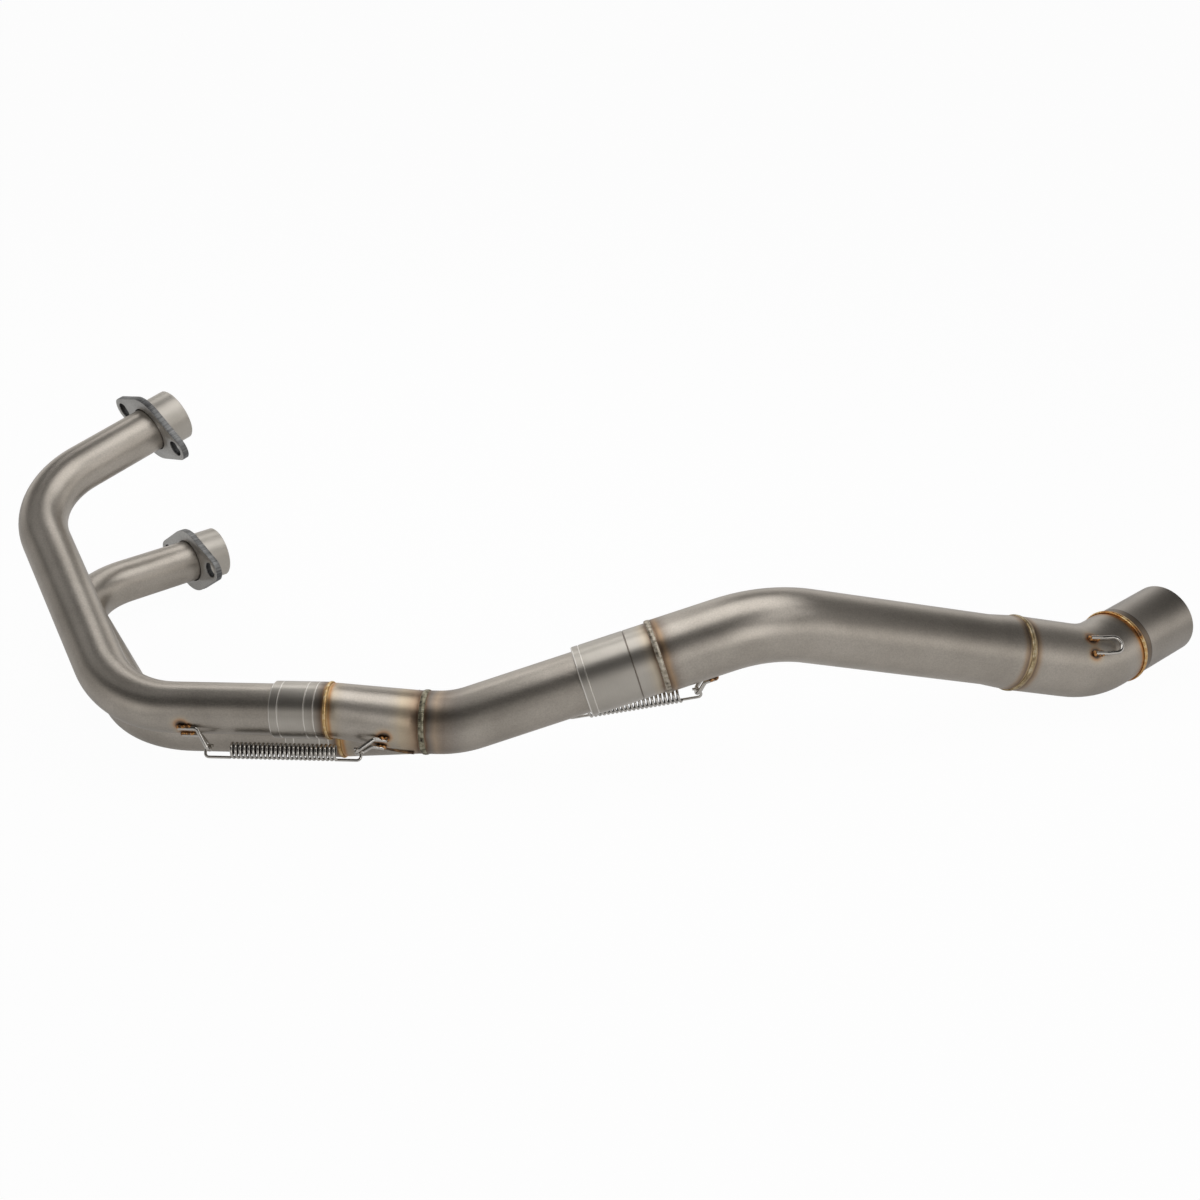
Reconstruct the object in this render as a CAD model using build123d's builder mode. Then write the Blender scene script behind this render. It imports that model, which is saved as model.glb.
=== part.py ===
# Two-into-one motorcycle exhaust header, lying on its right side as it comes to rest.
# Millimetres, +Z up, +X from the cylinder ports to the tail, ports turned to +Y.
from math import cos, pi, radians, sin, sqrt
import os

from build123d import *

# Slip joints: turned sleeves that the pipes push into
header_od = 33.0
outlet_od = 41.0
slip_clearance = 0.2
slip_stop = 3.0
collector_sleeve_wall = 1.6
collector_sleeve_od = header_od + 2 * (slip_clearance + collector_sleeve_wall)
collector_sleeve_length = 36.0
collector_grooves = (6.0, 23.0, 29.0)
link_sleeve_wall = 2.6
link_sleeve_od = outlet_od + 2 * (slip_clearance + link_sleeve_wall)
link_sleeve_length = 52.0
link_sleeve_start = 84.5
link_grooves = (5.0, 35.0)
sleeve_groove_width = 1.0
sleeve_groove_depth = 0.35
sleeve_edge = 0.6

# Tail spigot, for a slip-on muffler
tail_od = 51.0
tail_wall = 1.5
tail_flare = 1.25
tail_lip_od = tail_od + 2 * tail_flare
tail_lip_length = 6.0
tail_length = 58.0

# Other tube sizes, each stepped up or down from the tube it is welded to
tube_wall = 1.2
branch_step = 0.6
branch_od = collector_sleeve_od - 2 * branch_step
link_step = 1.0
link_od = link_sleeve_od + 2 * link_step
elbow_step = 0.75
elbow_od = tail_lip_od - 2 * elbow_step
flare_length = 22.0
elbow_weld_place = 190.0

# Routes: bend points of the centre lines, with the radius of each bend
left_port_end = (-335.1, 131.13, 150.55)
left_port_bend = (-421.8, 39.13, 120.05)
left_bend_radii = (64.0, 69.0)
left_arm = 104.6
right_port_end = (-321.6, 144.53, 26.25)
right_port_bend = (-415.1, 62.13, 25.95)
right_bend_radii = (52.0, 70.0)
right_arm = 101.9
link_bend = (100.0, -97.47, 94.25)
link_bend_radius = 101.5
elbow_bend = (336.8, -34.17, 25.45)
elbow_bend_radius = 69.0
tail_end = (408.5, 19.63, 31.55)

# Collector: centre between the sleeve mouths, direction of its axis and of the pair of pipes
collector_mouth = (-214.0, -120.47, 33.65)
collector_yaw = -4.4
collector_pitch = 1.4
pair_roll = 38.7
pair_gap = 2.4
pair_spacing = collector_sleeve_od + pair_gap
collector_length = 94.3
branch_collar = 4.0
outlet_bend_ahead = 19.7
outlet_bend_radius = 69.0

# Port collars and the loose oval flanges behind them
collar_wall = 3.25
collar_od = header_od + 2 * collar_wall
collar_length = 20.0
collar_edge = 0.8
flange_thickness = 5.0
flange_clearance = 0.75
flange_land = 8.25
flange_boss_radius = header_od / 2 + flange_clearance + flange_land
flange_lobe_radius = 10.0
flange_pcd = 64.0
flange_hole_d = 12.0
flange_hole_edge = 0.8
left_flange_gap = 0.2
right_flange_gap = 1.6
left_flange_roll = 14.5
right_flange_roll = -5.0
left_flange_tilt = 0.0
right_flange_tilt = 4.0

# Weld beads
bead_width = 3.6
bead_height = 0.9
bead_gap = 0.02
seam_radius = 1.6
seam_reach = 0.95
seam_points = 5

# Tension springs
spring_od = 11.0
spring_wire = 1.8
spring_pitch = 2.88
header_spring_coils = 24
link_spring_coils = 22
spring_sides = 6
turn_steps = 8
loop_clearance = 0.4
loop_end = 2.0
loop_bevel = 1.5
spring_gap = 3.2
spring_standoff = collector_sleeve_od / 2 + spring_od / 2 + spring_gap
link_spring_gap = 3.0
link_spring_standoff = link_sleeve_od / 2 + spring_od / 2 + link_spring_gap
left_spring_side = (0.0, -0.68, -0.73)
right_spring_side = (0.0, 1.0, 0.15)
header_anchor_place = -40.5
collector_anchor_past = 18.8
collector_anchor_place = collector_sleeve_length + collector_anchor_past
outlet_anchor_back = 13.5
outlet_anchor_place = link_sleeve_start - outlet_anchor_back
link_anchor_past = 17.0
link_anchor_place = link_sleeve_start + link_sleeve_length + link_anchor_past
link_spring_far = (0.0, 0.88, -0.47)
link_spring_under = (0.0, -0.47, -0.88)
link_spring_left_turn = 36.0
link_spring_right_turn = 72.0

# Wire hooks that the springs pull on
hook_wire = 2.8
hook_half_width = 4.6
hook_turn = 3.6
hook_knee = 3.0
hook_leg = 8.0
header_hook_leg = 12.0
pipe_hook_reach = 6.5
sleeve_hook_reach = 7.0
hook_seat = 0.05
tack_radius = 2.1
tack_length = 5.5
tack_overhang = 0.7
left_hook_side = (0.0, -0.87, -0.49)
tail_hook_side = (0.0, -0.62, 0.78)
tail_hook_leg = 10.0
tail_hook_reach = 13.0
tail_hook_lift = 3.5
tail_hook_before = 10.0


def direction(yaw, pitch):
    level = cos(radians(pitch))
    return Vector(level * cos(radians(yaw)), level * sin(radians(yaw)), sin(radians(pitch)))


def unit(start, end):
    return (Vector(end) - Vector(start)).normalized()


def across(axis, wanted):
    """The part of a direction that stands square to an axis, as a unit vector."""
    wanted = Vector(wanted)
    return (wanted - axis * wanted.dot(axis)).normalized()


def save(piece, node):
    piece.part.label = node
    export_step(piece.part, f"parts/{node}.step")


os.makedirs("parts", exist_ok=True)

# Directions and planes that everything else hangs on
collector_axis = direction(collector_yaw, collector_pitch)
upright = across(collector_axis, (0, 0, 1))
pair_axis = upright * cos(radians(pair_roll)) + collector_axis.cross(upright) * sin(radians(pair_roll))
mouth = Vector(collector_mouth)
collector_plane = Plane(origin=mouth, x_dir=pair_axis, z_dir=collector_axis)
outlet_start = mouth + collector_axis * collector_length
outlet_bend = outlet_start + collector_axis * outlet_bend_ahead
outlet_axis = unit(outlet_bend, link_bend)
link_axis = unit(link_bend, elbow_bend)
tail_axis = unit(elbow_bend, tail_end)


def header_route(side, port_end, port_bend, arm):
    """Centre line from the port, down the front and back into the collector sleeve."""
    sleeve_mouth = mouth + pair_axis * (side * pair_spacing / 2)
    end = sleeve_mouth + collector_axis * (collector_sleeve_length - slip_stop)
    return [Vector(port_end), Vector(port_bend), sleeve_mouth - collector_axis * arm, end]


def bent_tube(points, radii, outer, wall):
    with BuildPart() as tube:
        with BuildLine() as route:
            FilletPolyline(*points, radius=list(radii))
        with BuildSketch(Plane(origin=points[0], z_dir=unit(points[0], points[1]))):
            Circle(outer / 2)
            if wall:
                Circle(outer / 2 - wall, mode=Mode.SUBTRACT)
        sweep(path=route.line)
    return tube


def lathe_plane(plane):
    """The plane through the axis that turned outlines are drawn on: radius, then height."""
    return Plane(origin=plane.origin, x_dir=plane.x_dir, z_dir=-plane.y_dir)


def turned(plane, outline):
    """A body turned about the plane's Z axis from an outline of radius and height."""
    with BuildPart() as body:
        with BuildSketch(lathe_plane(plane)):
            with BuildLine():
                Polyline(*outline, close=True)
            make_face()
        revolve(axis=Axis(plane.origin, plane.z_dir))
    return body


def sleeve(plane, outer, bore, length, grooves):
    """A turned sleeve with broken edges and fine grooves cut round it."""
    radius = outer / 2
    outline = [(bore / 2, 0), (radius - sleeve_edge, 0), (radius, sleeve_edge)]
    for place in grooves:
        outline.append((radius, place - sleeve_groove_width / 2))
        outline.append((radius - sleeve_groove_depth, place))
        outline.append((radius, place + sleeve_groove_width / 2))
    outline += [(radius, length), (bore / 2, length)]
    return turned(plane, outline)


def bead(plane, low_radius, high_radius):
    """A weld bead round a joint where the radius steps from high to low along the axis."""
    low = low_radius + bead_gap
    high = high_radius + bead_gap
    half = bead_width / 2
    with BuildPart() as ring:
        with BuildSketch(lathe_plane(plane)):
            with BuildLine():
                ThreePointArc((high, -half), (high + bead_height, 0), (low, half))
                Polyline((low, half), (low, bead_gap), (high, bead_gap), (high, -half))
            make_face()
        revolve(axis=Axis(plane.origin, plane.z_dir))
    return ring


def butt_bead(plane, radius):
    """A low round bead over two tubes of one size that meet end to end."""
    base = radius + bead_gap
    half = bead_width / 2
    with BuildPart() as ring:
        with BuildSketch(lathe_plane(plane)):
            with BuildLine():
                ThreePointArc((base, -half), (base + bead_height, 0), (base, half))
                Line((base, half), (base, -half))
            make_face()
        revolve(axis=Axis(plane.origin, plane.z_dir))
    return ring


# Header pipes, with their port collars and flanges
collar_bore = header_od + 2 * bead_gap
flange_bore = header_od + 2 * flange_clearance
pipes = {}
port_routes = (
    ("left", 1, left_port_end, left_port_bend, left_bend_radii, left_arm),
    ("right", -1, right_port_end, right_port_bend, right_bend_radii, right_arm),
)
flange_places = {
    "left": (left_flange_gap, left_flange_roll, left_flange_tilt),
    "right": (right_flange_gap, right_flange_roll, right_flange_tilt),
}
for name, side, port_end, port_bend, bend_radii, arm in port_routes:
    route = header_route(side, port_end, port_bend, arm)
    pipes[name] = (route, bend_radii)
    header_pipe = bent_tube(route, bend_radii, header_od, tube_wall)
    save(header_pipe, f"{name}_header_pipe")

    port_axis = unit(port_bend, port_end)
    level = across(port_axis, (0, 0, 1)).cross(port_axis)
    collar_back = Vector(port_end) - port_axis * collar_length
    collar_plane = Plane(origin=collar_back, x_dir=level, z_dir=port_axis)
    collar_outline = [
        (collar_bore / 2, 0),
        (collar_od / 2 - collar_edge, 0),
        (collar_od / 2, collar_edge),
        (collar_od / 2, collar_length - collar_edge),
        (collar_od / 2 - collar_edge, collar_length),
        (collar_bore / 2, collar_length),
    ]
    save(turned(collar_plane, collar_outline), f"{name}_port_collar")

    flange_gap, flange_roll, flange_tilt = flange_places[name]
    flange_face = collar_back - port_axis * flange_gap
    straight_lobe = level * cos(radians(flange_roll)) + port_axis.cross(level) * sin(radians(flange_roll))
    lobe = straight_lobe * cos(radians(flange_tilt)) - port_axis * sin(radians(flange_tilt))
    flange_axis = port_axis * cos(radians(flange_tilt)) + straight_lobe * sin(radians(flange_tilt))
    with BuildPart() as flange:
        with BuildSketch(Plane(origin=flange_face, x_dir=lobe, z_dir=flange_axis)):
            Circle(flange_boss_radius)
            with Locations((-flange_pcd / 2, 0), (flange_pcd / 2, 0)):
                Circle(flange_lobe_radius)
            make_hull()
            Circle(flange_bore / 2, mode=Mode.SUBTRACT)
            with Locations((-flange_pcd / 2, 0), (flange_pcd / 2, 0)):
                Circle(flange_hole_d / 2, mode=Mode.SUBTRACT)
        extrude(amount=-flange_thickness)
        rims = flange.edges().filter_by(GeomType.CIRCLE).filter_by(
            lambda rim: abs(rim.radius - flange_hole_d / 2) < flange_hole_edge
        )
        chamfer(rims, length=flange_hole_edge)
    save(flange, f"{name}_flange")

# Collector: two sleeves, two branches that merge, and the weld beads between them
sleeve_bore = header_od + 2 * slip_clearance
branch_start = collector_sleeve_length
lean_start = branch_start + branch_collar
lean_end = collector_length - branch_collar
for name, side in (("left", 1), ("right", -1)):
    sleeve_plane = Plane(
        origin=mouth + pair_axis * (side * pair_spacing / 2), x_dir=pair_axis, z_dir=collector_axis
    )
    collector_sleeve = sleeve(
        sleeve_plane, collector_sleeve_od, sleeve_bore, collector_sleeve_length, collector_grooves
    )
    save(collector_sleeve, f"{name}_collector_sleeve")
    sleeve_weld = bead(sleeve_plane.offset(branch_start), branch_od / 2, collector_sleeve_od / 2)
    save(sleeve_weld, f"{name}_sleeve_weld")


def branch_core(side, shrink):
    """One leg of the merge: round at its sleeve, swelling and leaning into the common outlet."""
    with BuildPart() as core:
        with BuildSketch(collector_plane.offset(branch_start)):
            with Locations((side * pair_spacing / 2, 0)):
                Circle(branch_od / 2 - shrink)
        extrude(amount=branch_collar)
        with BuildSketch(collector_plane.offset(lean_start)):
            with Locations((side * pair_spacing / 2, 0)):
                Circle(branch_od / 2 - shrink)
        with BuildSketch(collector_plane.offset(lean_end)):
            Circle(outlet_od / 2 - shrink)
        loft()
        with BuildSketch(collector_plane.offset(lean_end)):
            Circle(outlet_od / 2 - shrink)
        extrude(amount=branch_collar)
    return core.part


branch_legs = {side: branch_core(side, 0) for side in (1, -1)}
for name, side in (("left", 1), ("right", -1)):
    with BuildPart() as branch:
        add(branch_legs[side])
        add(branch_core(side, tube_wall), mode=Mode.SUBTRACT)
        keep = Keep.TOP if side > 0 else Keep.BOTTOM
        split(bisect_by=Plane(origin=mouth, z_dir=pair_axis), keep=keep)
    save(branch, f"{name}_collector_branch")

# Seam weld where the two legs meet: from the outlet down to the crotch and back on the other side
seam_axis = collector_axis.cross(pair_axis)
crotch = (pair_spacing - branch_od) / (pair_spacing + outlet_od - branch_od)


def seam_point(share, turn):
    """A point of the line where the legs meet, on one side of the pair's mid-plane."""
    place = lean_start + share * (lean_end - lean_start)
    offset = pair_spacing / 2 * (1 - share)
    radius = branch_od / 2 + (outlet_od - branch_od) / 2 * share
    height = sqrt(max(radius**2 - offset**2, 0))
    return mouth + collector_axis * place + seam_axis * (turn * height)


seam_steps = [(step / seam_points) ** 2 for step in range(1, seam_points + 1)]
seam_shares = [crotch + (seam_reach - crotch) * step for step in seam_steps]
seam_route = [seam_point(share, 1) for share in reversed(seam_shares)]
seam_route.append(seam_point(crotch, 0))
seam_route += [seam_point(share, -1) for share in seam_shares]
with BuildPart() as collector_seam:
    with BuildLine() as seam_line:
        Spline(*seam_route)
    with BuildSketch(Plane(origin=seam_route[0], z_dir=seam_line.line % 0)):
        Circle(seam_radius)
    sweep(path=seam_line.line)
    for side in (1, -1):
        add(branch_core(side, -bead_gap), mode=Mode.SUBTRACT)
save(collector_seam, "collector_seam")

outlet_plane = Plane(origin=outlet_start, x_dir=pair_axis, z_dir=collector_axis)
save(butt_bead(outlet_plane, outlet_od / 2), "collector_weld")

# Outlet pipe, pushed into the link sleeve
link_sleeve_origin = outlet_bend + outlet_axis * link_sleeve_start
outlet_end = link_sleeve_origin + outlet_axis * (link_sleeve_length - slip_stop)
outlet_route = [outlet_start, outlet_bend, outlet_end]
outlet_pipe = bent_tube(outlet_route, [outlet_bend_radius], outlet_od, tube_wall)
save(outlet_pipe, "outlet_pipe")

link_sleeve_plane = Plane(origin=link_sleeve_origin, z_dir=outlet_axis)
link_sleeve_bore = outlet_od + 2 * slip_clearance
link_sleeve = sleeve(link_sleeve_plane, link_sleeve_od, link_sleeve_bore, link_sleeve_length, link_grooves)
save(link_sleeve, "link_sleeve")

# Link pipe with its flared end
link_start = link_sleeve_origin + outlet_axis * link_sleeve_length
elbow_start = Vector(link_bend) + link_axis * elbow_weld_place
flare_start = elbow_start - link_axis * flare_length
flare_plane = Plane(origin=flare_start, z_dir=link_axis)
with BuildPart() as link_pipe:
    with BuildLine() as link_route:
        FilletPolyline(link_start, link_bend, flare_start, radius=link_bend_radius)
    with BuildSketch(Plane(origin=link_start, z_dir=outlet_axis)):
        Circle(link_od / 2)
        Circle(link_od / 2 - tube_wall, mode=Mode.SUBTRACT)
    sweep(path=link_route.line)
    with BuildSketch(flare_plane):
        Circle(link_od / 2)
    with BuildSketch(flare_plane.offset(flare_length)):
        Circle(elbow_od / 2)
    loft()
    with BuildSketch(flare_plane):
        Circle(link_od / 2 - tube_wall)
    with BuildSketch(flare_plane.offset(flare_length)):
        Circle(elbow_od / 2 - tube_wall)
    loft(mode=Mode.SUBTRACT)
save(link_pipe, "link_pipe")
link_weld = bead(Plane(origin=link_start, z_dir=-outlet_axis), link_sleeve_od / 2, link_od / 2)
save(link_weld, "link_sleeve_weld")

# Elbow and tail spigot
tail_start = Vector(tail_end) - tail_axis * tail_length
elbow_route = [elbow_start, Vector(elbow_bend), tail_start]
elbow = bent_tube(elbow_route, [elbow_bend_radius], elbow_od, tube_wall)
save(elbow, "elbow")
save(butt_bead(Plane(origin=elbow_start, z_dir=link_axis), elbow_od / 2), "elbow_weld")

tail_plane = Plane(origin=tail_start, z_dir=tail_axis)
tail_outline = [
    (tail_lip_od / 2 - tail_wall, 0),
    (tail_lip_od / 2, 0),
    (tail_od / 2, tail_lip_length),
    (tail_od / 2, tail_length),
    (tail_od / 2 - tail_wall, tail_length),
    (tail_od / 2 - tail_wall, tail_lip_length),
]
save(turned(tail_plane, tail_outline), "tail_spigot")
save(bead(Plane(origin=tail_start, z_dir=-tail_axis), elbow_od / 2, tail_lip_od / 2), "tail_weld")


def surface_plane(axis_point, axis, side, radius, ahead):
    """A plane lying on a tube's surface, its X axis along the tube towards ahead."""
    out = across(axis, side)
    return Plane(origin=axis_point + out * radius, x_dir=axis * ahead, z_dir=out)


def loop_axis(along, out):
    """The axis that a spring's end loops turn about: square to the spring and to its way out."""
    return along.cross(across(along, out))


def wire_hook(base, radius, leg, anchor, bar_axis, carriers):
    """A U of wire: two legs tacked to a tube and a cross bar held out at the anchor."""
    wire = hook_wire / 2
    half = hook_half_width
    height = sqrt((radius + wire + hook_seat) ** 2 - half**2) - radius
    corners = ((0, -half), (leg, -half), (leg, half), (0, half))
    legs = [base.from_local_coords((x, y, height)) for x, y in corners]
    bar = bar_axis * (half if bar_axis.dot(base.y_dir) > 0 else -half)
    points = [legs[0], legs[1], anchor - bar, anchor + bar, legs[2], legs[3]]
    with BuildPart() as hook:
        with BuildLine() as bend:
            FilletPolyline(*points, radius=[hook_knee, hook_turn, hook_turn, hook_knee])
        with BuildSketch(Plane(origin=points[0], z_dir=unit(points[0], points[1]))):
            Circle(wire)
        sweep(path=bend.line)
        for leg_end in (legs[0], legs[3]):
            with BuildSketch(Plane(origin=leg_end - base.x_dir * tack_overhang, z_dir=base.x_dir)):
                Circle(tack_radius)
            extrude(amount=tack_length)
        for carrier in carriers:
            add(carrier, mode=Mode.SUBTRACT)
    return hook


def tension_spring(start, end, coils, side):
    """A close-wound spring of one wire, its end loops round the two hook bars."""
    reach = (end - start).length
    along = unit(start, end)
    frame = Plane(origin=start, x_dir=along, z_dir=loop_axis(along, side))
    loop = (spring_wire + hook_wire) / 2 + loop_clearance
    coil = (spring_od - spring_wire) / 2
    coil_length = coils * spring_pitch
    first = (reach - coil_length) / 2
    loop_points = [
        (loop_end, -loop),
        (loop_bevel - loop, -loop),
        (-loop, loop_bevel - loop),
        (-loop, coil - loop_bevel),
        (loop_bevel - loop, coil),
    ]
    points = [(x, y, 0) for x, y in loop_points]
    for step in range(coils * turn_steps + 1):
        angle = 2 * pi * step / turn_steps
        points.append((first + spring_pitch * step / turn_steps, coil * cos(angle), coil * sin(angle)))
    points += [(reach - x, y, 0) for x, y in reversed(loop_points)]
    route = [frame.from_local_coords(point) for point in points]
    with BuildPart() as spring:
        with BuildLine() as wire:
            Polyline(*route)
        with BuildSketch(Plane(origin=route[0], z_dir=unit(route[0], route[1]))):
            RegularPolygon(spring_wire / 2, spring_sides)
        sweep(path=wire.line, transition=Transition.RIGHT)
    return spring


def carrier(points, radii, outer):
    """The solid envelope of a tube, which the hook's tack welds are trimmed to."""
    return bent_tube(points, radii, outer + 2 * bead_gap, 0).part


def straight_carrier(start, axis, length, outer):
    """The same envelope for a straight run of tube."""
    radius = outer / 2 + bead_gap
    outline = [(0, 0), (radius, 0), (radius, length), (0, length)]
    return turned(Plane(origin=start, z_dir=axis), outline).part


def branch_station(side, place):
    """Centre and radius of a merging leg at a distance from the sleeve mouths."""
    share = (place - lean_start) / (lean_end - lean_start)
    offset = side * pair_spacing / 2 * (1 - share)
    centre = mouth + collector_axis * place + pair_axis * offset
    return centre, branch_od / 2 + (outlet_od - branch_od) / 2 * share


# Springs and hooks that hold the header pipes in the collector
header_springs = (
    ("left", 1, left_spring_side, left_hook_side),
    ("right", -1, right_spring_side, right_spring_side),
)
for name, side, spring_side, hook_side in header_springs:
    sleeve_mouth = mouth + pair_axis * (side * pair_spacing / 2)
    spring_line = sleeve_mouth + across(collector_axis, spring_side) * spring_standoff
    bar_axis = loop_axis(collector_axis, spring_side)
    front_anchor = spring_line + collector_axis * header_anchor_place
    rear_anchor = spring_line + collector_axis * collector_anchor_place

    route, bend_radii = pipes[name]
    leg_end = sleeve_mouth + collector_axis * (header_anchor_place - pipe_hook_reach - header_hook_leg)
    base = surface_plane(leg_end, collector_axis, hook_side, header_od / 2, 1)
    header_carrier = carrier(route, bend_radii, header_od)
    header_hook = wire_hook(base, header_od / 2, header_hook_leg, front_anchor, bar_axis, [header_carrier])
    save(header_hook, f"{name}_header_hook")

    knee_place = collector_anchor_place + sleeve_hook_reach
    knee_centre = branch_station(side, knee_place)[0]
    leg_centre, leg_radius = branch_station(side, knee_place + hook_leg)
    lean_axis = unit(knee_centre, leg_centre)
    towards_spring = spring_line + collector_axis * (knee_place + hook_leg) - leg_centre
    base = surface_plane(leg_centre, lean_axis, towards_spring, leg_radius, -1)
    collector_hook = wire_hook(base, leg_radius, hook_leg, rear_anchor, bar_axis, branch_legs.values())
    save(collector_hook, f"{name}_collector_hook")

    header_spring = tension_spring(front_anchor, rear_anchor, header_spring_coils, spring_side)
    save(header_spring, f"{name}_header_spring")

# Spring and hooks that hold the outlet pipe in the link sleeve
far_side = across(outlet_axis, link_spring_far)
under_side = across(outlet_axis, link_spring_under)


def link_spring_side(turn):
    """The way out from the pipe to the spring, turned from the far side towards the underside."""
    return far_side * cos(radians(turn)) + under_side * sin(radians(turn))


outlet_side = link_spring_side(link_spring_left_turn)
link_side = link_spring_side(link_spring_right_turn)
outlet_anchor = outlet_bend + outlet_axis * outlet_anchor_place + outlet_side * link_spring_standoff
link_anchor = outlet_bend + outlet_axis * link_anchor_place + link_side * link_spring_standoff

bar_axis = loop_axis(unit(outlet_anchor, link_anchor), outlet_side + link_side)
leg_end = outlet_bend + outlet_axis * (outlet_anchor_place - pipe_hook_reach - hook_leg)
base = surface_plane(leg_end, outlet_axis, outlet_side, outlet_od / 2, 1)
outlet_carrier = straight_carrier(outlet_bend, outlet_axis, link_sleeve_start, outlet_od)
save(wire_hook(base, outlet_od / 2, hook_leg, outlet_anchor, bar_axis, [outlet_carrier]), "outlet_hook")

leg_end = outlet_bend + outlet_axis * (link_anchor_place + sleeve_hook_reach + hook_leg)
base = surface_plane(leg_end, outlet_axis, link_side, link_od / 2, -1)
link_carrier = carrier([link_start, link_bend, flare_start], [link_bend_radius], link_od)
save(wire_hook(base, link_od / 2, hook_leg, link_anchor, bar_axis, [link_carrier]), "link_hook")

link_spring = tension_spring(outlet_anchor, link_anchor, link_spring_coils, outlet_side + link_side)
save(link_spring, "link_spring")

# Hook on the elbow for the muffler's spring, a little before the middle of the bend
elbow_turn = radians(link_axis.get_angle(tail_axis))
bend_inward = (tail_axis - link_axis).normalized()
bend_middle_axis = (link_axis + tail_axis).normalized()
bend_centre = Vector(elbow_bend) + bend_inward * (elbow_bend_radius / cos(elbow_turn / 2))
before = tail_hook_before / elbow_bend_radius
hook_axis = bend_middle_axis * cos(before) - bend_inward * sin(before)
hook_place = bend_centre - (bend_inward * cos(before) + bend_middle_axis * sin(before)) * elbow_bend_radius
base = surface_plane(
    hook_place - hook_axis * (tail_hook_leg / 2), hook_axis, tail_hook_side, elbow_od / 2, 1
)
tail_anchor = base.from_local_coords((tail_hook_leg + tail_hook_reach, 0, tail_hook_lift))
elbow_carrier = carrier(elbow_route, [elbow_bend_radius], elbow_od)
tail_hook = wire_hook(base, elbow_od / 2, tail_hook_leg, tail_anchor, base.y_dir, [elbow_carrier])
save(tail_hook, "tail_hook")
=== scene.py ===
from math import cos, pi, radians, sin, sqrt, tan

import bmesh
import bpy
from mathutils import Matrix, Quaternion, Vector


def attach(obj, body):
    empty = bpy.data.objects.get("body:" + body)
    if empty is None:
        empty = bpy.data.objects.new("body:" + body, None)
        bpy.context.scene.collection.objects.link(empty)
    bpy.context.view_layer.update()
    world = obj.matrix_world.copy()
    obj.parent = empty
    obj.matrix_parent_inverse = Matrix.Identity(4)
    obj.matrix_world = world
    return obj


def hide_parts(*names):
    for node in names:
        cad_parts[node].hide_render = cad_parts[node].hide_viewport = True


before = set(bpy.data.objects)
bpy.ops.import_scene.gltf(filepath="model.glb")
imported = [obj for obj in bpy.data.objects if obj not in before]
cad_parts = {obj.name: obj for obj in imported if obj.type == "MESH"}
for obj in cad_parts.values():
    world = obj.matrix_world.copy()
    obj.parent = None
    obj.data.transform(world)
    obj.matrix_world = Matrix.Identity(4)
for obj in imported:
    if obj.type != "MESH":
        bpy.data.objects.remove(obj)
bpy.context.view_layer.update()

mm = 0.001
pipework = "pipework"
legSigns = {"left": 1, "right": -1}  # the two cylinders, and where each leg lies along the pair's axis
print("frame loaded:", len(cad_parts), "nodes")


# Places and directions, written in millimetres and kept in metres

def spot(x, y, z):
    return Vector((x, y, z)) * mm


def squareTo(axis, wanted):  # the part of a direction that stands square to an axis
    wanted = Vector(wanted)
    return (wanted - axis * wanted.dot(axis)).normalized()


def swing(first, second, angle):  # one direction turned towards another that is square to it
    return first * cos(angle) + second * sin(angle)


routes = {
    "leftPort": spot(-335.1, 131.13, 150.55), "leftBend": spot(-421.8, 39.13, 120.05),
    "leftRadii": (64 * mm, 69 * mm), "leftArm": 104.6 * mm,
    "rightPort": spot(-321.6, 144.53, 26.25), "rightBend": spot(-415.1, 62.13, 25.95),
    "rightRadii": (52 * mm, 70 * mm), "rightArm": 101.9 * mm,
    "mouth": spot(-214.0, -120.47, 33.65), "yaw": radians(-4.4), "pitch": radians(1.4),
    "pairRoll": radians(38.7), "pairSpacing": 39 * mm, "collectorLength": 94.3 * mm,
    "outletBend": 114 * mm, "outletRadius": 69 * mm,
    "linkBend": spot(100.0, -97.47, 94.25), "linkRadius": 101.5 * mm,
    "elbowBend": spot(336.8, -34.17, 25.45), "elbowRadius": 69 * mm,
    "tailEnd": spot(408.5, 19.63, 31.55),
}
mouth = routes["mouth"]
collectorAxis = Vector((
    cos(routes["pitch"]) * cos(routes["yaw"]),
    cos(routes["pitch"]) * sin(routes["yaw"]),
    sin(routes["pitch"]),
))
upright = squareTo(collectorAxis, (0, 0, 1))
pairAxis = swing(upright, collectorAxis.cross(upright), routes["pairRoll"])
outletStart = mouth + collectorAxis * routes["collectorLength"]
outletBend = mouth + collectorAxis * routes["outletBend"]
outletAxis = (routes["linkBend"] - outletBend).normalized()
linkAxis = (routes["elbowBend"] - routes["linkBend"]).normalized()
tailAxis = (routes["tailEnd"] - routes["elbowBend"]).normalized()
sleeveMouths = {side: mouth + pairAxis * sign * routes["pairSpacing"] / 2 for side, sign in legSigns.items()}

joints = {"sleeveLength": 36 * mm, "linkSleeve": 84.5 * mm, "linkSleeveLength": 52 * mm, "stop": 3 * mm,
          "elbowWeld": 190 * mm, "flare": 22 * mm, "flareSteps": 8, "tailLength": 58 * mm}
sleeveWelds = {side: sleeveMouths[side] + collectorAxis * joints["sleeveLength"] for side in legSigns}
linkSleeveStart = outletBend + outletAxis * joints["linkSleeve"]
linkStart = linkSleeveStart + outletAxis * joints["linkSleeveLength"]
elbowStart = routes["linkBend"] + linkAxis * joints["elbowWeld"]
flareStart = elbowStart - linkAxis * joints["flare"]
tailStart = routes["tailEnd"] - tailAxis * joints["tailLength"]


# Modelling by hand: a ring is drawn out along straights and swung round bends

meshing = {"mergeGap": 0.001 * mm, "bendStep": 3.0, "leastSteps": 3, "turnedSides": 96}
creases = {"tube": 35, "turned": 25, "plate": 30, "bead": 80, "wire": 60}  # degrees that still shade smooth


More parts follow.
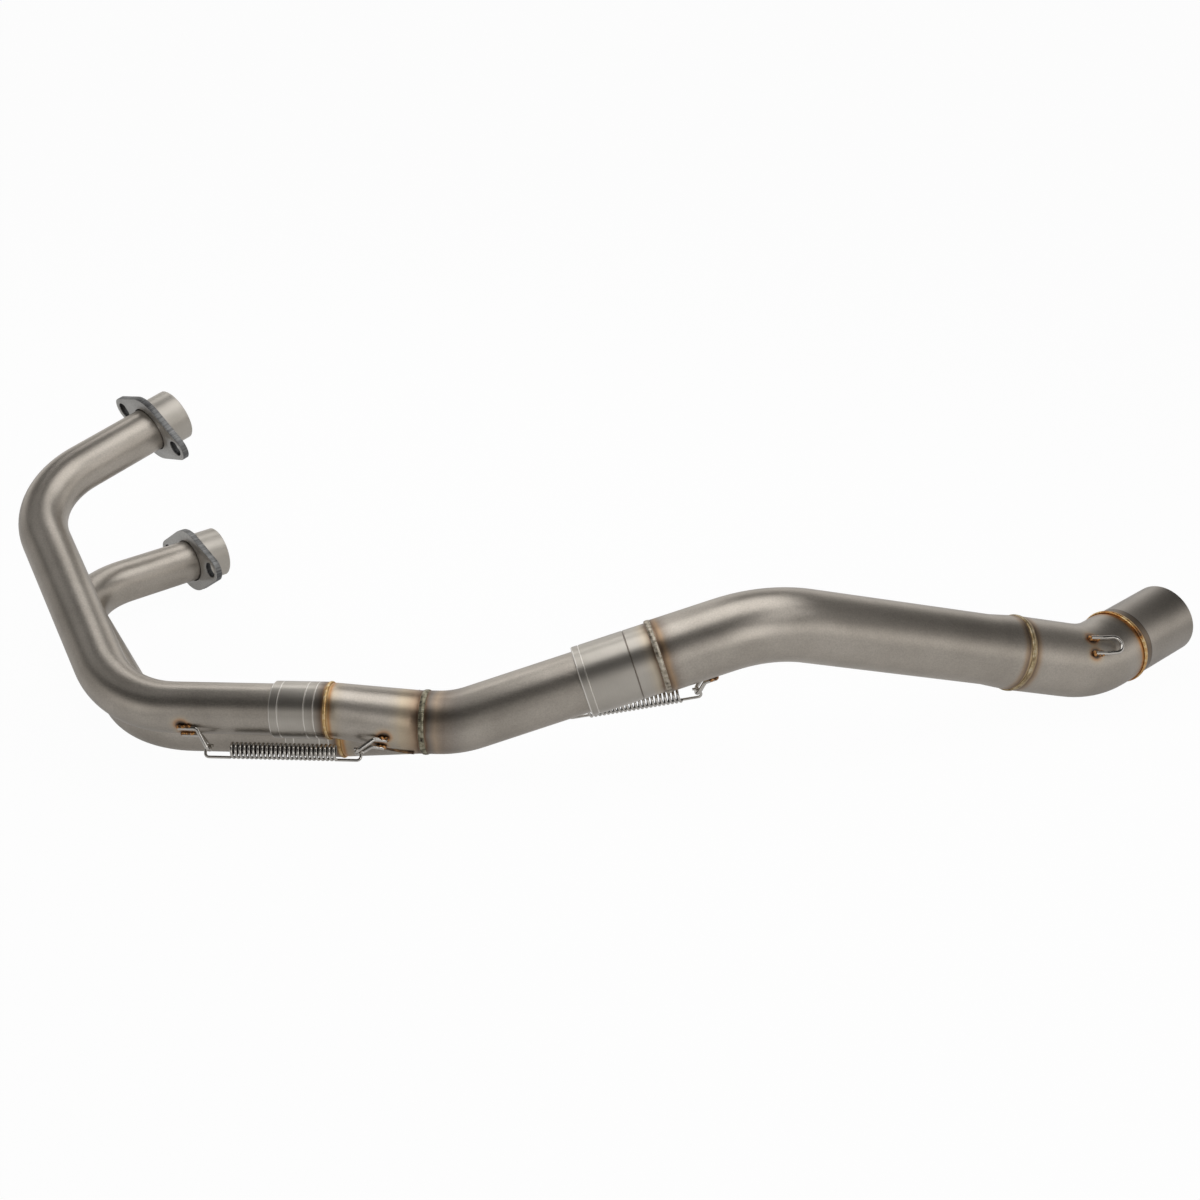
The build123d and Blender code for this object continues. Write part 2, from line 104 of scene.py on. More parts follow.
def deselectAll():
    if bpy.context.mode != "OBJECT":
        bpy.ops.object.mode_set(mode="OBJECT")
    bpy.ops.object.select_all(action="DESELECT")


def pickOut(piece):
    deselectAll()
    piece.select_set(True)
    bpy.context.view_layer.objects.active = piece


def takeUp(name):  # names the new primitive and moves its place into its mesh
    piece = bpy.context.active_object
    piece.name = name
    bpy.ops.object.transform_apply(location=True, rotation=True, scale=True)
    return piece


def editAll():
    bpy.ops.object.mode_set(mode="EDIT")
    bpy.ops.mesh.select_all(action="SELECT")


def facing(axis):
    return axis.to_track_quat("Z", "Y").to_euler()


def startRing(name, centre, axis, radius, count):
    deselectAll()
    bpy.ops.mesh.primitive_circle_add(vertices=count, radius=radius, location=centre, rotation=facing(axis))
    ring = takeUp(name)
    ring.data.name = name
    editAll()
    return ring


def drawOut(shift):
    bpy.ops.mesh.extrude_region_move(TRANSFORM_OT_translate={"value": shift})


def growRing(factor, centre):
    bpy.ops.transform.resize(value=(factor,) * 3, center_override=centre)


def drawTaper(start, end, startRadius, endRadius, steps):  # a straight run that changes its radius
    radius = startRadius
    for step in range(1, steps + 1):
        drawOut((end - start) / steps)
        grown = startRadius + (endRadius - startRadius) * step / steps
        growRing(grown / radius, start.lerp(end, step / steps))
        radius = grown


def bentTube(name, corners, bendRadii, radius, count, stepAngle=meshing["bendStep"]):
    way = (corners[1] - corners[0]).normalized()
    tube = startRing(name, corners[0], way, radius, count)
    place = corners[0]
    for corner, after, bend in zip(corners[1:-1], corners[2:], bendRadii):
        nextWay = (after - corner).normalized()
        turn = way.angle(nextWay)
        inset = bend * tan(turn / 2)
        bendStart = corner - way * inset
        drawOut(bendStart - place)
        pivotAxis = way.cross(nextWay).normalized()
        pivot = bendStart + pivotAxis.cross(way) * bend
        steps = max(meshing["leastSteps"], round(turn / radians(stepAngle)))
        bpy.ops.mesh.spin(steps=steps, angle=-turn, center=pivot, axis=pivotAxis)
        place = corner + nextWay * inset
        way = nextWay
    drawOut(corners[-1] - place)
    return tube


def capEnds():  # closes both open ends of a wire
    bpy.ops.mesh.select_all(action="DESELECT")
    bpy.ops.mesh.select_mode(type="EDGE")
    bpy.ops.mesh.select_non_manifold()
    bpy.ops.mesh.edge_face_add()
    bpy.ops.mesh.fill_holes(sides=0)


def cleanMesh():
    bpy.ops.mesh.select_mode(type="VERT")
    bpy.ops.mesh.select_all(action="SELECT")
    bpy.ops.mesh.remove_doubles(threshold=meshing["mergeGap"])
    bpy.ops.mesh.normals_make_consistent(inside=False)
    bpy.ops.object.mode_set(mode="OBJECT")


def smoothOver(piece, crease):
    pickOut(piece)
    bpy.ops.object.shade_smooth_by_angle(angle=radians(crease))


def applyAll(piece):
    pickOut(piece)
    for modifier in list(piece.modifiers):
        bpy.ops.object.modifier_apply(modifier=modifier.name)


def giveWall(piece, wall):
    solid = piece.modifiers.new("wall", "SOLIDIFY")
    solid.thickness = wall
    solid.offset = -1  # inwards
    solid.use_even_offset = True
    applyAll(piece)


def joinAll(pieces):
    pickOut(pieces[0])
    for piece in pieces[1:]:
        piece.select_set(True)
    bpy.ops.object.join()
    return pieces[0]


def turnedRing(name, centre, axis, outline):
    # outline: (radius, height) of each corner of the section, which closes on its first corner
    radius, height = outline[0]
    ring = startRing(name, centre + axis * height, axis, radius, meshing["turnedSides"])
    for nextRadius, nextHeight in outline[1:] + outline[:1]:
        drawOut(axis * (nextHeight - height))
        growRing(nextRadius / radius, centre + axis * nextHeight)
        radius, height = nextRadius, nextHeight
    cleanMesh()
    return ring


def settle(piece, node, body, finish=None):  # hands a finished piece to the frame
    if finish:
        piece.data.materials.append(finish)
    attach(piece, body)
    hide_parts(node)


# Finishes

# heat colours of the welds and tacks, and also the colours of the painted glints and painted groove shade on
# the turned sleeves
heatAndGlint = {"gold": (0.66, 0.45, 0.20), "orange": (0.52, 0.24, 0.07), "rust": (0.38, 0.26, 0.16),
        "bronze": (0.34, 0.20, 0.09), "brown": (0.14, 0.085, 0.05), "black": (0.035, 0.028, 0.022),
        "straw": (0.56, 0.45, 0.30), "smokeAndShade": (0.20, 0.17, 0.145), "soot": (0.18, 0.138, 0.10),
        "steel": (0.47, 0.43, 0.38), "bright": (0.92, 0.89, 0.84)}
heatDrift = {"scale": 70.0, "detail": 3.0}  # how a heat colour's edge wanders
plainSteel = {"cloudScale": 22.0, "cloudDetail": 6.0, "cloudRoughness": 0.6, "cloudSpan": (0.3, 0.7),
              "grainScale": 1600.0, "lineScale": 2500.0, "grainDetail": 3.0, "fleckSpan": (0.25, 0.75),
              "coilShade": 0.06, "bumpDepth": 0.15 * mm}  # what a look below leaves out
satinTube = {"dark": (0.415, 0.376, 0.328), "light": (0.54, 0.493, 0.437), "fleck": 0.78,
             "rough": (0.32, 0.41), "bump": 0.24, "grainScale": 950.0}
turnedSteel = {"dark": (0.44, 0.41, 0.365), "light": (0.535, 0.50, 0.45), "fleck": 0.90,
               "rough": (0.36, 0.46), "bump": 0.05}


def nodeAt(tree, kind, **values):
    node = tree.nodes.new("ShaderNode" + kind)
    for name, value in values.items():
        if name in node.inputs:
            node.inputs[name].default_value = value
        else:
            setattr(node, name, value)
    return node


def feed(tree, socket, value):  # links an output to a socket, or sets the socket to a plain value
    if hasattr(value, "default_value"):
        tree.links.new(value, socket)
    else:
        socket.default_value = value


def workOut(tree, kind, operation, *terms):
    node = nodeAt(tree, kind, operation=operation)
    for socket, term in zip(node.inputs, terms):
        feed(tree, socket, term)
    return node


def mapRange(tree, value, source=(0, 1), target=(0, 1), **values):
    spread = nodeAt(tree, "MapRange", **values)
    for name, limit in zip(("From Min", "From Max", "To Min", "To Max"), (*source, *target)):
        spread.inputs[name].default_value = limit
    feed(tree, spread.inputs["Value"], value)
    return spread.outputs["Result"]


def colourRamp(tree, value, stops):  # stops: (position, colour, strength), the lowest first
    ramp = nodeAt(tree, "ValToRGB")
    marks = ramp.color_ramp.elements
    for position, colour, strength in stops[1:-1]:
        marks.new(position).color = (*colour, strength)
    for mark, (position, colour, strength) in ((marks[0], stops[0]), (marks[-1], stops[-1])):
        mark.position = position
        mark.color = (*colour, strength)
    feed(tree, ramp.inputs["Fac"], value)
    return ramp


def blendColours(tree, kind, factor, first, second):
    mix = nodeAt(tree, "Mix", data_type="RGBA", blend_type=kind)
    for name, value in (("Factor_Float", factor), ("A_Color", first), ("B_Color", second)):
        feed(tree, next(s for s in mix.inputs if s.identifier == name), value)
    return next(s for s in mix.outputs if s.identifier == "Result_Color")


def distanceAlong(tree, place, centre, axis):  # how far a point lies past a plane, in metres
    shift = workOut(tree, "VectorMath", "SUBTRACT", place, centre)
    return workOut(tree, "VectorMath", "DOT_PRODUCT", shift.outputs["Vector"], axis).outputs["Value"]


def flattened(tree, place, centre, axis):  # the point's foot on that plane
    depth = distanceAlong(tree, place, centre, axis)
    return workOut(tree, "VectorMath", "MULTIPLY_ADD", depth, -axis, place).outputs["Vector"]


def heatAndGlintTint(tree, place, colour, tint):
    # heat colours across a weld, or round a tack where there is no axis, and the painted glints and painted
    # shade along a turned sleeve's rim and grooves
    # stops are (millimetres off it, colour name, strength)
    if "axis" in tint:
        away = distanceAlong(tree, place, tint["centre"], tint["axis"])
    else:
        away = workOut(tree, "VectorMath", "DISTANCE", place, tint["centre"]).outputs["Value"]
    wander = tint["ragged"] * mm
    drift = nodeAt(tree, "TexNoise", Scale=heatDrift["scale"], Detail=heatDrift["detail"])
    feed(tree, drift.inputs["Vector"], place)
    ragged = workOut(tree, "Math", "MULTIPLY_ADD", drift.outputs["Fac"], wander, away)
    low, high = tint["stops"][0][0], tint["stops"][-1][0]
    spread = mapRange(tree, ragged.outputs["Value"], (low * mm + wander / 2, high * mm + wander / 2))
    ramp = colourRamp(tree, spread, [((off - low) / (high - low), heatAndGlint[shade], strength)
                                     for off, shade, strength in tint["stops"]])
    return blendColours(tree, "MIX", ramp.outputs["Alpha"], colour, ramp.outputs["Color"])


def newMetal(name):
    finish = bpy.data.materials.new(name)
    finish.use_nodes = True
    tree = finish.node_tree
    shader = tree.nodes["Principled BSDF"]
    shader.inputs["Metallic"].default_value = 1.0
    return finish, tree, shader, nodeAt(tree, "TexCoord").outputs["Object"]


def steelFinish(name, look, tints=()):
    finish, tree, shader, place = newMetal(name)
    look = dict(plainSteel, **look)
    cloud = nodeAt(tree, "TexNoise", Scale=look["cloudScale"], Detail=look["cloudDetail"],
                   Roughness=look["cloudRoughness"])
    feed(tree, cloud.inputs["Vector"], place)
    thin, thick = look["cloudSpan"]
    shades = colourRamp(tree, cloud.outputs["Fac"], [(thin, look["dark"], 1), (thick, look["light"], 1)])

    if "lines" in look:  # fine tool lines round a turned piece
        along = distanceAlong(tree, place, (0, 0, 0), look["lines"])
        grain = nodeAt(tree, "TexNoise", noise_dimensions="1D", Scale=look["lineScale"],
                       Detail=look["grainDetail"])
        feed(tree, grain.inputs["W"], along)
    else:
        where = place
        if "through" in look:  # cutting marks that run straight through a plate's thickness
            where = flattened(tree, place, (0, 0, 0), look["through"])
        grain = nodeAt(tree, "TexNoise", Scale=look["grainScale"], Detail=look["grainDetail"])
        feed(tree, grain.inputs["Vector"], where)
    height = grain.outputs["Fac"]
    thin, thick = look["fleckSpan"]
    flecks = colourRamp(tree, height, [(thin, (look["fleck"],) * 3, 1), (thick, (1, 1, 1), 1)])
    colour = blendColours(tree, "MULTIPLY", 1.0, shades.outputs["Color"], flecks.outputs["Color"])
    for tint in tints:
        colour = heatAndGlintTint(tree, place, colour, tint)
    if "coil" in look:  # painted shade: a spring's wire is darkened on the inside of its coil, where the coil shades it
        start, along, inner, outer = look["coil"]
        foot = flattened(tree, place, start, along)
        off = workOut(tree, "VectorMath", "DISTANCE", foot, start)
        shade = mapRange(tree, off.outputs["Value"], (inner, outer), (look["coilShade"], 1))
        colour = blendColours(tree, "MULTIPLY", 1.0, colour, shade)
    feed(tree, shader.inputs["Base Color"], colour)

    feed(tree, shader.inputs["Roughness"], mapRange(tree, height, target=look["rough"]))
    bump = nodeAt(tree, "Bump", Strength=look["bump"], Distance=look["bumpDepth"])
    feed(tree, bump.inputs["Height"], height)
    feed(tree, shader.inputs["Normal"], bump.outputs["Normal"])
    return finish


print("helpers ready")


# Camera and studio

camera = {"place": (-0.0081, -0.89063, 0.53105), "tilt": radians(62), "lens": 42.0, "sensor": 36.0}
lens = bpy.data.cameras.new("photoLens")
lens.lens = camera["lens"]
lens.sensor_width = camera["sensor"]
photoView = bpy.data.objects.new("photoView", lens)
photoView.location = camera["place"]
photoView.rotation_euler = (camera["tilt"], 0, 0)
bpy.context.scene.collection.objects.link(photoView)
bpy.context.scene.camera = photoView
bpy.context.scene.view_settings.view_transform = "Standard"

studio = {"floorSize": 60.0, "floorDrop": 0.4 * mm, "floorColour": (0.86, 0.86, 0.86),
          "whiteShare": 0.97, "glossShare": 0.30,  # how white the paper looks, and how it shows in the steel
          "roomColour": (1, 0.985, 0.965), "low": 1.0, "high": 0.05, "fade": (0.22, 0.62),
          "dim": {"Y": (-0.96, -0.74, 0.35), "X": (-0.97, -0.70, 0.45)}}
deselectAll()
bpy.ops.mesh.primitive_plane_add(size=studio["floorSize"], location=(0, 0, -studio["floorDrop"]))
floor = bpy.context.active_object
floor.name = "studioFloor"
paper = bpy.data.materials.new("whitePaper")
paper.use_nodes = True
tree = paper.node_tree
tree.nodes.remove(tree.nodes["Principled BSDF"])
matt = nodeAt(tree, "BsdfDiffuse", Color=(*studio["floorColour"], 1))
glow = nodeAt(tree, "Emission")
ray = nodeAt(tree, "LightPath").outputs
glossy = workOut(tree, "Math", "MULTIPLY", ray["Is Glossy Ray"], studio["glossShare"]).outputs["Value"]
share = workOut(tree, "Math", "MULTIPLY_ADD", ray["Is Camera Ray"], studio["whiteShare"], glossy)
both = nodeAt(tree, "MixShader")
tree.links.new(share.outputs["Value"], both.inputs["Fac"])
tree.links.new(matt.outputs["BSDF"], both.inputs[1])
tree.links.new(glow.outputs["Emission"], both.inputs[2])
tree.links.new(both.outputs["Shader"], tree.nodes["Material Output"].inputs["Surface"])
floor.data.materials.append(paper)

# The room: pale near the floor, dim overhead, behind the camera and on the left, for the pipes' dark stripes
room = bpy.data.worlds.new("studioRoom")
bpy.context.scene.world = room
room.use_nodes = True
tree = room.node_tree
gaze = nodeAt(tree, "SeparateXYZ")
feed(tree, gaze.inputs["Vector"], nodeAt(tree, "TexCoord").outputs["Generated"])
level = mapRange(tree, gaze.outputs["Z"], studio["fade"], (studio["low"], studio["high"]),
                 interpolation_type="SMOOTHSTEP")
for way, (edge, inner, share) in studio["dim"].items():
    wall = mapRange(tree, gaze.outputs[way], (edge, inner), (share, 1), interpolation_type="SMOOTHSTEP")
    level = workOut(tree, "Math", "MULTIPLY", level, wall).outputs["Value"]
shown = nodeAt(tree, "Mix", B=1.0)  # the camera itself sees plain white
feed(tree, shown.inputs["Factor"], nodeAt(tree, "LightPath").outputs["Is Camera Ray"])
feed(tree, shown.inputs["A"], level)
backdrop = tree.nodes["Background"]
feed(tree, backdrop.inputs["Strength"], shown.outputs["Result"])
backdrop.inputs["Color"].default_value = (*studio["roomColour"], 1)

lamps = {
    "topBox": {"place": (0.05, 0.06, 0.68), "size": (0.69, 0.55), "power": 2.0, "roll": 16},
    "leftBox": {"place": (-0.45, 0.66, 0.70), "size": (0.58, 0.52), "power": 1.5},
    "fillBox": {"place": (-0.82, 0.02, 0.70), "size": (0.50, 0.50), "power": 0.3},
    "frontBox": {"place": (0.43, -0.42, 0.68), "size": (0.34, 0.50), "power": 0.6},
    "rightBox": {"place": (0.44, -1.15, 0.46), "size": (0.26, 0.74), "power": 1.5, "aim": (0.1, -0.1, 0.1)},
}
for name, lamp in lamps.items():
    light = bpy.data.lights.new(name, "AREA")
    light.shape = "RECTANGLE"
    light.size, light.size_y = lamp["size"]
    light.energy = lamp["power"]
    box = bpy.data.objects.new(name, light)
    box.location = lamp["place"]
    aim = lamp.get("aim", (*lamp["place"][:2], 0))  # straight down, unless it says otherwise
    aimTurn = (Vector(aim) - Vector(lamp["place"])).to_track_quat("-Z", "Y")
    box.rotation_euler = (aimTurn @ Quaternion((0, 0, 1), radians(lamp.get("roll", 0)))).to_euler()
    bpy.context.scene.collection.objects.link(box)
print("camera and studio ready")


# Pipes

pipes = {"sides": 72, "header": 16.5 * mm, "outlet": 20.5 * mm, "link": 24.3 * mm, "elbow": 26.0 * mm,
         "wall": 1.2 * mm}
tubes = {}  # each tube with its look and heat tints; the tacks on it add theirs further down


def finishTube(name, tube, node, tints):
    cleanMesh()
    giveWall(tube, pipes["wall"])
    smoothOver(tube, creases["tube"])
    settle(tube, node, pipework)
    tubes[name] = (tube, satinTube, tints)


for side in legSigns:
    corners = [routes[side + "Port"], routes[side + "Bend"],
               sleeveMouths[side] - collectorAxis * routes[side + "Arm"],
               sleeveMouths[side] + collectorAxis * (joints["sleeveLength"] - joints["stop"])]
    header = bentTube(side + "Header", corners, routes[side + "Radii"], pipes["header"], pipes["sides"])
    finishTube(side + "Header", header, side + "_header_pipe", [])

collectorTint = {"centre": outletStart, "axis": collectorAxis, "ragged": 4.0, "stops": (
    (-24, "steel", 0.0), (-13, "straw", 0.6), (-6, "rust", 0.75), (-2.6, "brown", 0.95), (0, "bronze", 0.4),
    (2.4, "brown", 0.92), (5, "smokeAndShade", 0.8), (9, "rust", 0.6), (14, "brown", 0.5), (22, "smokeAndShade", 0.42),
    (38, "steel", 0.0))}
outletEnd = linkSleeveStart + outletAxis * (joints["linkSleeveLength"] - joints["stop"])
outlet = bentTube("outletPipe", [outletStart, outletBend, outletEnd], [routes["outletRadius"]],
                  pipes["outlet"], pipes["sides"])
finishTube("outletPipe", outlet, "outlet_pipe", [collectorTint])

linkTint = {"centre": linkStart, "axis": outletAxis, "ragged": 3.0, "stops": (
    (-13, "steel", 0.0), (-6, "straw", 0.4), (-2.4, "brown", 0.85), (0, "bronze", 0.5), (2.4, "brown", 0.9),
    (5, "bronze", 0.7), (8, "brown", 0.35), (16, "steel", 0.0))}
elbowTint = {"centre": elbowStart, "axis": linkAxis, "ragged": 2.0, "stops": (
    (-9, "steel", 0.0), (-5.5, "bronze", 0.5), (-3, "brown", 0.8), (-1.2, "gold", 0.6), (1.2, "gold", 0.6),
    (3, "brown", 0.85), (5.5, "bronze", 0.5), (10, "steel", 0.0))}
link = bentTube("linkPipe", [linkStart, routes["linkBend"], flareStart], [routes["linkRadius"]],
                pipes["link"], pipes["sides"])
drawTaper(flareStart, elbowStart, pipes["link"], pipes["elbow"], joints["flareSteps"])
finishTube("linkPipe", link, "link_pipe", [linkTint, elbowTint])

tailTint = {"centre": tailStart, "axis": tailAxis, "ragged": 1.0, "stops": (
    (-13, "steel", 0.0), (-5, "rust", 0.5), (-2.8, "orange", 0.95), (0, "gold", 0.7), (1.8, "gold", 0.9),
    (2.6, "brown", 0.98), (4.2, "soot", 0.97), (7.8, "soot", 0.95), (8.3, "black", 0.85),
    (9.2, "steel", 0.15), (18, "steel", 0.0))}
elbow = bentTube("elbow", [elbowStart, routes["elbowBend"], tailStart], [routes["elbowRadius"]],
                 pipes["elbow"], pipes["sides"])
finishTube("elbow", elbow, "elbow", [elbowTint, tailTint])

tail = {"lip": 26.75 * mm, "lipLength": 6 * mm, "radius": 25.5 * mm, "wall": 1.5 * mm,
        "look": dict(satinTube, dark=(0.35, 0.318, 0.28), light=(0.43, 0.39, 0.345))}
tailBore = tail["radius"] - tail["wall"]
spigot = turnedRing("tailSpigot", tailStart, tailAxis, [
    (tail["lip"] - tail["wall"], 0), (tail["lip"], 0), (tail["radius"], tail["lipLength"]),
    (tail["radius"], joints["tailLength"]), (tailBore, joints["tailLength"]), (tailBore, tail["lipLength"])])
smoothOver(spigot, creases["tube"])
settle(spigot, "tail_spigot", pipework)
tubes["tailSpigot"] = (spigot, tail["look"], [tailTint])
print("pipes done")


# Turned sleeves, port collars and the loose flanges

grooveCut = {"width": 1.0 * mm, "floor": 0.4 * mm, "depth": 0.35 * mm}
glint = {"rim": 0.5, "core": 0.2, "fade": 0.6, "strength": 0.75}  # the painted line of light or shade on a rim or groove, in mm
sleeves = {"outer": 18.3 * mm, "bore": 16.7 * mm, "length": joints["sleeveLength"],
           "grooves": {6: "bright", 23: "bright", 29: "bright"}}  # millimetres from the mouth, and the painted glint or painted shade along each
# the link sleeve's far groove gets a dark line of painted shade, its other groove a painted glint
linkSleeve = {"outer": 23.3 * mm, "bore": 20.7 * mm, "length": joints["linkSleeveLength"],
              "grooves": {5: "bright", 35: "smokeAndShade"}}
sleeveMetal = {"edge": 0.6 * mm, "look": dict(turnedSteel, rough=(0.29, 0.38))}
sleeveTints = {side: {"centre": sleeveWelds[side], "axis": collectorAxis, "ragged": 2.0, "stops": (
    (-12, "steel", 0.0), (-6, "brown", 0.3), (-2.6, "brown", 0.8), (-1.2, "bronze", 0.95), (1.0, "gold", 0.8),
    (2.6, "orange", 0.85), (5, "straw", 0.45), (14, "steel", 0.0))} for side in legSigns}


def paintedGrooveLine(centre, axis, place, shade):  # a painted glint or painted shade along a turned groove or rim
    core, fade, strength = glint["core"], glint["fade"], glint["strength"]
    return {"centre": centre, "axis": axis, "ragged": 0.0, "stops": (
        (place - fade, shade, 0.0), (place - core, shade, strength),
        (place + core, shade, strength), (place + fade, shade, 0.0))}


def turnedSleeve(name, centre, axis, size):
    outer, bore, edge = size["outer"], size["bore"], sleeveMetal["edge"]
    outline = [(bore, 0), (outer - edge, 0), (outer, edge)]
    floorRadius = outer - grooveCut["depth"]
    halfWidth, halfFloor = grooveCut["width"] / 2, grooveCut["floor"] / 2
    for groove in size["grooves"]:
        place = groove * mm
        outline += [(outer, place - halfWidth), (floorRadius, place - halfFloor),
                    (floorRadius, place + halfFloor), (outer, place + halfWidth)]
    sleeve = turnedRing(name, centre, axis, outline + [(outer, size["length"]), (bore, size["length"])])
    smoothOver(sleeve, creases["turned"])
    return sleeve


def sleeveFinish(name, centre, axis, size, weldTint):
    # painted highlight on the rim, and painted glints and painted shade in the grooves
    shades = {glint["rim"]: "bright", **size["grooves"]}
    lines = [paintedGrooveLine(centre, axis, place, shade) for place, shade in shades.items()]
    return steelFinish(name, dict(sleeveMetal["look"], lines=axis), [weldTint] + lines)


for side, centre in sleeveMouths.items():
    sleeve = turnedSleeve(side + "CollectorSleeve", centre, collectorAxis, sleeves)
    settle(sleeve, side + "_collector_sleeve", pipework,
           sleeveFinish(side + "SleeveSteel", centre, collectorAxis, sleeves, sleeveTints[side]))
sleeve = turnedSleeve("linkSleeve", linkSleeveStart, outletAxis, linkSleeve)
settle(sleeve, "link_sleeve", pipework,
       sleeveFinish("linkSleeveSteel", linkSleeveStart, outletAxis, linkSleeve, linkTint))

portCollar = {"outer": 19.75 * mm, "bore": 16.52 * mm, "length": 20 * mm, "edge": 0.8 * mm}
flange = {"thick": 5 * mm, "boss": 25.5 * mm, "ear": 10 * mm, "earReach": 32 * mm, "hole": 6 * mm,
          "holeEdge": 0.8 * mm, "bore": 17.25 * mm, "edge": 0.3 * mm, "edgeSteps": 2,
          "gap": {"left": 0.2 * mm, "right": 1.6 * mm}, "tilt": {"left": 0.0, "right": radians(4)},
          "roll": {"left": radians(14.5), "right": radians(-5)},
          "bossSides": 96, "earSides": 64, "holeSides": 72, "drill": 15 * mm, "rimSlope": 0.5,
          "flatAngle": radians(0.5), "edgeAngle": radians(60), "faceSlack": 0.05 * mm, "holeSlack": 0.1 * mm}
plateFace = {"dark": (0.48, 0.47, 0.45), "light": (0.62, 0.61, 0.585), "fleck": 0.72,
             "rough": (0.38, 0.52), "bump": 0.2, "grainScale": 700.0}
sawnEdge = {"dark": (0.13, 0.13, 0.13), "light": (0.40, 0.40, 0.395), "fleck": 0.30,
            "rough": (0.35, 0.6), "bump": 0.6, "grainScale": 900.0}
# the stud holes' walls: the cut edge's look made near black, as painted shade inside the holes
holeWall = dict(sawnEdge, dark=(0.03, 0.03, 0.03), light=(0.10, 0.10, 0.10))


def portRing(name, back, axis):
    outer, bore, length, edge = (portCollar[key] for key in ("outer", "bore", "length", "edge"))
    collar = turnedRing(name, back, axis, [
        (bore, 0), (outer - edge, 0), (outer, edge), (outer, length - edge), (outer - edge, length),
        (bore, length)])
    smoothOver(collar, creases["turned"])
    return collar


def addDrum(centre, axis, radius, depth, count):
    bpy.ops.mesh.primitive_cylinder_add(vertices=count, radius=radius, depth=depth, location=centre,
                                        rotation=facing(axis))


def squareDistance(past, axis):
    return (past - axis * past.dot(axis)).length


def cutHole(piece, centre, axis, radius):
    deselectAll()
    addDrum(centre, axis, radius, flange["drill"], flange["holeSides"])
    drill = bpy.context.active_object
    cut = piece.modifiers.new("hole", "BOOLEAN")
    cut.operation = "DIFFERENCE"
    cut.solver = "EXACT"
    cut.object = drill
    applyAll(piece)
    bpy.data.objects.remove(drill)


def ovalPlate(name, centre, axis, earCentres):
    deselectAll()
    addDrum(centre, axis, flange["boss"], flange["thick"], flange["bossSides"])
    plate = takeUp(name)
    bpy.ops.object.mode_set(mode="EDIT")
    for earCentre in earCentres:
        addDrum(earCentre, axis, flange["ear"], flange["thick"], flange["earSides"])
    bpy.ops.mesh.select_all(action="SELECT")
    bpy.ops.mesh.convex_hull()
    bpy.ops.mesh.dissolve_limited(angle_limit=flange["flatAngle"])
    bpy.ops.object.mode_set(mode="OBJECT")
    cutHole(plate, centre, axis, flange["bore"])
    for earCentre in earCentres:
        cutHole(plate, earCentre, axis, flange["hole"])
    return plate


def breakEdges(plate, axis, earCentres):  # widely round the stud holes, finely everywhere else
    bpy.ops.object.mode_set(mode="EDIT")
    bpy.ops.mesh.select_mode(type="EDGE")
    bpy.ops.mesh.select_all(action="DESELECT")
    web = bmesh.from_edit_mesh(plate.data)
    for edge in web.edges:
        middle = (edge.verts[0].co + edge.verts[1].co) / 2
        for earCentre in earCentres:
            past = middle - earCentre
            offFace = abs(abs(past.dot(axis)) - flange["thick"] / 2)
            offHole = abs(squareDistance(past, axis) - flange["hole"])
            if offFace < flange["faceSlack"] and offHole < flange["holeSlack"]:
                edge.select = True
    bmesh.update_edit_mesh(plate.data)
    bpy.ops.mesh.bevel(offset=flange["holeEdge"], segments=flange["edgeSteps"], affect="EDGES")
    bpy.ops.object.mode_set(mode="OBJECT")
    soften = plate.modifiers.new("brokenEdge", "BEVEL")
    soften.width = flange["edge"]
    soften.segments = flange["edgeSteps"]
    soften.limit_method = "ANGLE"
    soften.angle_limit = flange["edgeAngle"]
    applyAll(plate)
    smoothOver(plate, creases["plate"])


for side in legSigns:
    portAxis = (routes[side + "Port"] - routes[side + "Bend"]).normalized()
    collarBack = routes[side + "Port"] - portAxis * portCollar["length"]
    settle(portRing(side + "PortCollar", collarBack, portAxis), side + "_port_collar", pipework,
           steelFinish(side + "CollarSteel", dict(turnedSteel, lines=portAxis)))

    levelWay = squareTo(portAxis, (0, 0, 1)).cross(portAxis)
    straightEar = swing(levelWay, portAxis.cross(levelWay), flange["roll"][side])
    ear = swing(straightEar, -portAxis, flange["tilt"][side])
    plateAxis = swing(portAxis, straightEar, flange["tilt"][side])
    centre = collarBack - portAxis * flange["gap"][side] - plateAxis * flange["thick"] / 2
    earCentres = [centre - ear * flange["earReach"], centre + ear * flange["earReach"]]
    plate = ovalPlate(side + "FlangePlate", centre, plateAxis, earCentres)
    breakEdges(plate, plateAxis, earCentres)
    metals = {"FlangeSteel": plateFace, "FlangeEdge": dict(sawnEdge, through=plateAxis), "HoleWall": holeWall}
    for metal, look in metals.items():
        plate.data.materials.append(steelFinish(side + metal, look))
    for face in plate.data.polygons:
        if abs(face.normal.dot(plateAxis)) < flange["rimSlope"]:  # the rim, or the wall of a hole
            offHole = min(squareDistance(face.center - earCentre, plateAxis) for earCentre in earCentres)
            inHole = offHole < flange["hole"] + flange["holeSlack"]
            face.material_index = list(metals).index("HoleWall" if inHole else "FlangeEdge")
    settle(plate, side + "_flange", side + "_swivel_flange")
print("sleeves, collars and flanges done")


# Collector: two legs that lean together into the outlet

